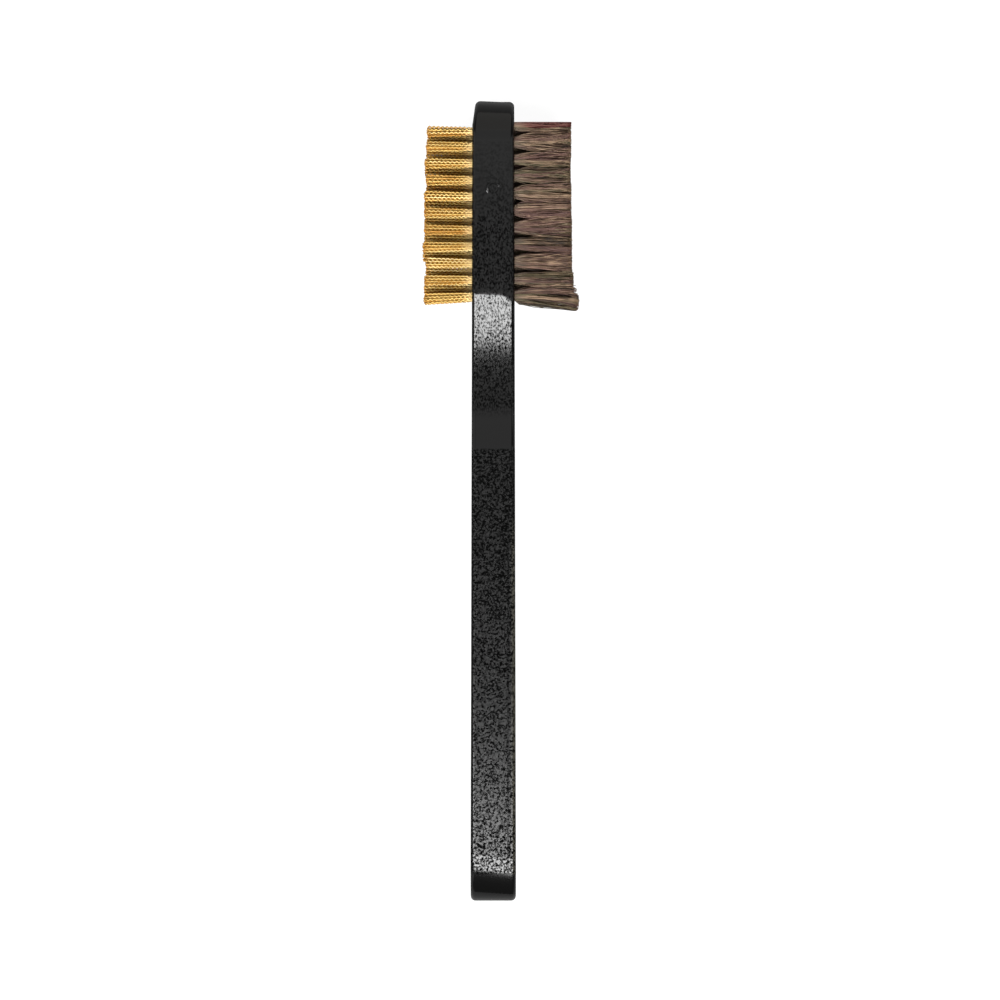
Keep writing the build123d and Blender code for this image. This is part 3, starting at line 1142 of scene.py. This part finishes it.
def hair_row(field, row, settings, material):
    """One row of hair tufts as a piece."""
    chance = np.random.default_rng(hair_seed + row)
    count = settings.hairs_per_tuft
    radius = settings.thickness / 2
    reach = settings.length * (1 + reach_shares["hair"][row])
    share = np.linspace(0, 1, hair_rings)
    locks = lock_columns * lock_layers
    first, last = row == 0, row == rows - 1
    paths, tones, tints, reds = [], [], [], []
    for along, height in field.row_places(row):
        foot_y, foot_z = sunflower(count, hole_radius - radius)
        column = np.clip((foot_y / hole_radius + 1) / 2 * lock_columns, 0, lock_columns - 1)
        layer = np.clip((foot_z / hole_radius + 1) / 2 * lock_layers, 0, lock_layers - 1)
        lock = column.astype(int) * lock_layers + layer.astype(int)
        lock_tone = chance.uniform(*lock_tone_range, locks)
        lock_tint = chance.uniform(0, 1, locks)
        lock_lean = chance.normal(0, lock_lean_scatter, (2, locks))
        lock_curve = chance.normal(0, lock_curve_scatter, locks)
        lock_turn = chance.uniform(0, 2 * pi, locks)
        spread = chance.uniform(*hair_spread, count) + chance.uniform(*hair_tuft_spread)
        quickness = chance.uniform(*opening_quickness)
        along = along + chance.normal(0, tuft_scatter)
        stray = chance.normal(0, hair_stray, (2, count))
        if last:
            stray = stray * last_row_stray_gain
        else:
            stray = stray * np.where(chance.random(count) < wild_hair_share, wild_hair_gain, 1.0)
        lean = lean_shares["hair"][row] * reach
        rounding = last_row_rounding if last else tuft_rounding
        uneven = chance.uniform(*hair_end_scatter, count)
        ends = reach * (1 + uneven - rounding * (foot_y / hole_radius) ** 2)
        out = -sunk + (ends[:, None] + sunk) * share
        rise = np.clip(out / reach, 0, None)
        opening = 1 - np.clip(1 - rise, 0, None) ** quickness
        turn = chance.normal(lock_turn[lock], bend_turn_scatter)
        waves = chance.uniform(*bend_waves, count)
        wander = chance.uniform(*bend_reach, count)
        bend = wander[:, None] * (
            np.sin(2 * pi * waves[:, None] * rise + turn[:, None]) - np.sin(turn)[:, None]
        )
        widening = (spread[:, None] - 1) * opening
        # The hairs of a lock draw together towards their tips
        lock_y, lock_z = (
            np.bincount(lock, foot, locks) / np.maximum(np.bincount(lock, minlength=locks), 1)
            for foot in (foot_y, foot_z)
        )
        gathered = lock_gathering * rise
        foot_y = foot_y[:, None] + (lock_y[lock] - foot_y)[:, None] * gathered
        foot_z = foot_z[:, None] + (lock_z[lock] - foot_z)[:, None] * gathered
        sideways = foot_y * (1 + widening)
        sideways = sideways + (stray[0] + lock_lean[0][lock])[:, None] * rise
        sideways = sideways + lock_curve[lock][:, None] * rise * (rise - lock_curve_turn)
        sideways = sideways + bend * np.cos(turn)[:, None]
        if first:
            # The first row keeps a level edge towards the tip of the head
            level = hole_radius - radius - level_inset - lean * rise
            sideways = np.minimum(sideways, level + chance.uniform(*level_scatter, (count, 1)))
        if last:
            # Its upper hairs spread further than the lower ones, which keep a clean edge
            sideways = sideways * (1 + upper_hair_spread * rise * (sideways > 0))
            uneven_edge = chance.uniform(*lower_edge_scatter, (count, 1))
            sideways = np.maximum(
                sideways, uneven_edge - hole_radius - lower_edge_reach * opening
            )
            # The last row bends away from the tip, its lower tuft sooner than the upper one
            lower_tuft = height < middle_height
            bow = np.clip(out / bow_start, 0, 1) * np.clip(1 - rise, 0, 1) ** bow_power
            sideways = sideways - last_row_bow * bow * lower_tuft
        y = along + sideways + lean * rise ** (last_lean_power if last else 1.0)
        z = height + foot_z * (1 + widening)
        z = z + (stray[1] + lock_lean[1][lock])[:, None] * rise + bend * np.sin(turn)[:, None]
        # The lowest hairs lie on the table and don't pass through it
        z = np.maximum(z, radius)
        paths.append(field.point(y, z, out))
        tones.append(np.clip(lock_tone[lock] + chance.normal(0, tone_scatter, count), 0, 1))
        tints.append(np.clip(lock_tint[lock] + chance.normal(0, tint_scatter, count), 0, 1))
        front = sideways[:, -1] > sideways[:, -1].max() - red_depth
        reds.append(np.where(front & first, 1.0, 0.0) * chance.uniform(*red_range, count))
    paths = np.concatenate(paths)
    radii = radius * (1 - hair_taper * share) * np.ones((len(paths), 1))
    marks = {
        "tone": np.concatenate(tones)[:, None],
        "tint": np.concatenate(tints)[:, None],
        "along": share[None, :],
        "red": np.concatenate(reds)[:, None] * np.clip((share - red_start) * red_rise, 0, 1),
    }
    name = f"hair_bristles_row_{row + 1:02d}"
    mesh = tubes(name, paths, radii, hair_sides, marks)
    new_piece(name, mesh, material, "brown_hair", f"hair_tuft_row_{row + 1:02d}")


class SUEDEBRUSH_OT_brass(bpy.types.Operator):
    """Build the rows of crimped brass wire"""

    bl_idname = "suede_brush.brass"
    bl_label = "Brass wires"

    def execute(self, context):
        settings = context.scene.suede_brush_brass
        material = brass_material(settings)
        field = TuftField("brass")
        for row in range(rows):
            brass_row(field, row, settings, material)
        return {"FINISHED"}


class SUEDEBRUSH_OT_hair(bpy.types.Operator):
    """Build the rows of brown hair"""

    bl_idname = "suede_brush.hair"
    bl_label = "Hair"

    def execute(self, context):
        settings = context.scene.suede_brush_hair
        material = hair_material(settings)
        field = TuftField("hair")
        for row in range(rows):
            hair_row(field, row, settings, material)
        return {"FINISHED"}


class SUEDEBRUSH_OT_anchors(bpy.types.Operator):
    """Give the anchors in the tuft holes their steel"""

    bl_idname = "suede_brush.anchors"
    bl_label = "Anchors"

    def execute(self, context):
        material = steel_material()
        anchors = [node for name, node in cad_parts.items() if "_anchor_row_" in name]
        if len(anchors) != rows * len(SIDES):
            raise RuntimeError(f"{len(anchors)} rows of anchors are there, not {rows * len(SIDES)}")
        for anchor in anchors:
            anchor.data.materials.clear()
            anchor.data.materials.append(material)
        return {"FINISHED"}


# The studio


def area_light(name, center, aim, width, depth, radiance, color):
    """A rectangular soft light that faces a point, of an even radiance."""
    light = bpy.data.lights.new(name, "AREA")
    light.shape = "RECTANGLE"
    light.size = width
    light.size_y = depth
    light.energy = radiance * pi * width * depth
    light.color = color
    lamp = bpy.data.objects.new(name, light)
    lamp.location = center
    lamp.rotation_euler = (Vector(aim) - Vector(center)).to_track_quat("-Z", "Y").to_euler()
    bpy.context.scene.collection.objects.link(lamp)


class SUEDEBRUSH_OT_stage(bpy.types.Operator):
    """Build the floor, the lights and the camera"""

    bl_idname = "suede_brush.stage"
    bl_label = "Studio"

    def execute(self, context):
        settings = context.scene.suede_brush_stage
        scene = context.scene
        floor_half = 3.0
        floor = bpy.data.meshes.new("floor")
        corners = [(-floor_half, -floor_half), (floor_half, -floor_half)]
        corners += [(floor_half, floor_half), (-floor_half, floor_half)]
        floor.from_pydata([(x, y, 0) for x, y in corners], [], [(0, 1, 2, 3)])
        floor.materials.append(floor_material(settings))
        ground = bpy.data.objects.new("floor", floor)
        scene.collection.objects.link(ground)

        middle = (0, (tip_end + butt_end) / 2, handle_high.z)
        key = settings.key_strength
        white, warm, cool = (1.0, 1.0, 1.0), (1.0, 0.97, 0.92), (0.96, 1.0, 0.97)
        # Each light's name, place, what it faces, width, depth, radiance and colour
        for lamp in (
            ("key", (-0.4, -0.424, 0.82), (-0.4, -0.424, 0), 2.1, 0.472, key, white),
            ("top light", (0, 0, 2.0), (0, 0, 0), 2.6, 2.6, 0.47, white),
            ("tip light", (0, 1.40, 0.78), middle, 2.4, 1.75, 0.50, warm),
            ("left light", (-1.3, -0.3, 0.75), middle, 2.0, 1.3, 0.6, white),
            ("side light", (1.4, 0.1, 0.9), middle, 0.5, 1.2, 0.6, cool),
        ):
            area_light(*lamp)

        world = bpy.data.worlds.new("Room")
        world.use_nodes = True
        back = world.node_tree.nodes["Background"]
        back.inputs["Color"].default_value = (1.0, 0.99, 0.97, 1)
        back.inputs["Strength"].default_value = settings.fill_strength
        scene.world = world

        camera_data = bpy.data.cameras.new("camera")
        camera_data.sensor_width = sensor_millimetres
        seen = photo_pixels * metres_per_pixel
        photo_distance = settings.camera_distance + handle_high.z - photo_height
        camera_data.lens = camera_data.sensor_width * photo_distance / seen
        camera = bpy.data.objects.new("camera", camera_data)
        middle_pixel = photo_pixels / 2
        camera.location = (
            (middle_pixel - photo_origin[0]) * metres_per_pixel,
            (photo_origin[1] - middle_pixel) * metres_per_pixel,
            handle_high.z + settings.camera_distance,
        )
        scene.collection.objects.link(camera)
        scene.camera = camera
        scene.view_settings.view_transform = "Standard"
        if scene.camera is not camera:
            raise RuntimeError("The camera can't be put in the scene")
        return {"FINISHED"}


class SUEDEBRUSH_PT_panel(bpy.types.Panel):
    """The brush's sizes, colours and steps"""

    bl_idname = "SUEDEBRUSH_PT_panel"
    bl_label = "Suede Brush"
    bl_space_type = "VIEW_3D"
    bl_region_type = "UI"
    bl_category = "Suede Brush"

    def draw(self, context):
        for part, group, _ in steps:
            box = self.layout.box()
            if group is not None:
                settings = getattr(context.scene, f"suede_brush_{part}")
                for name in group.__annotations__:
                    box.prop(settings, name)
            box.operator(f"suede_brush.{part}")


# Every part's name with its settings and its operator, in the order they are run
steps = (
    ("handle", HandleSettings, SUEDEBRUSH_OT_handle),
    ("brass", BrassSettings, SUEDEBRUSH_OT_brass),
    ("hair", HairSettings, SUEDEBRUSH_OT_hair),
    ("anchors", None, SUEDEBRUSH_OT_anchors),
    ("stage", StageSettings, SUEDEBRUSH_OT_stage),
)


def register():
    for part, group, operator in steps:
        bpy.utils.register_class(operator)
        if group is not None:
            bpy.utils.register_class(group)
            setattr(bpy.types.Scene, f"suede_brush_{part}", PointerProperty(type=group))
    bpy.utils.register_class(SUEDEBRUSH_PT_panel)


def unregister():
    bpy.utils.unregister_class(SUEDEBRUSH_PT_panel)
    for part, group, operator in reversed(steps):
        if group is not None:
            delattr(bpy.types.Scene, f"suede_brush_{part}")
            bpy.utils.unregister_class(group)
        bpy.utils.unregister_class(operator)


def main():
    register()
    for part, _, _ in steps:
        getattr(bpy.ops.suede_brush, part)()


if __name__ == "__main__":
    main()
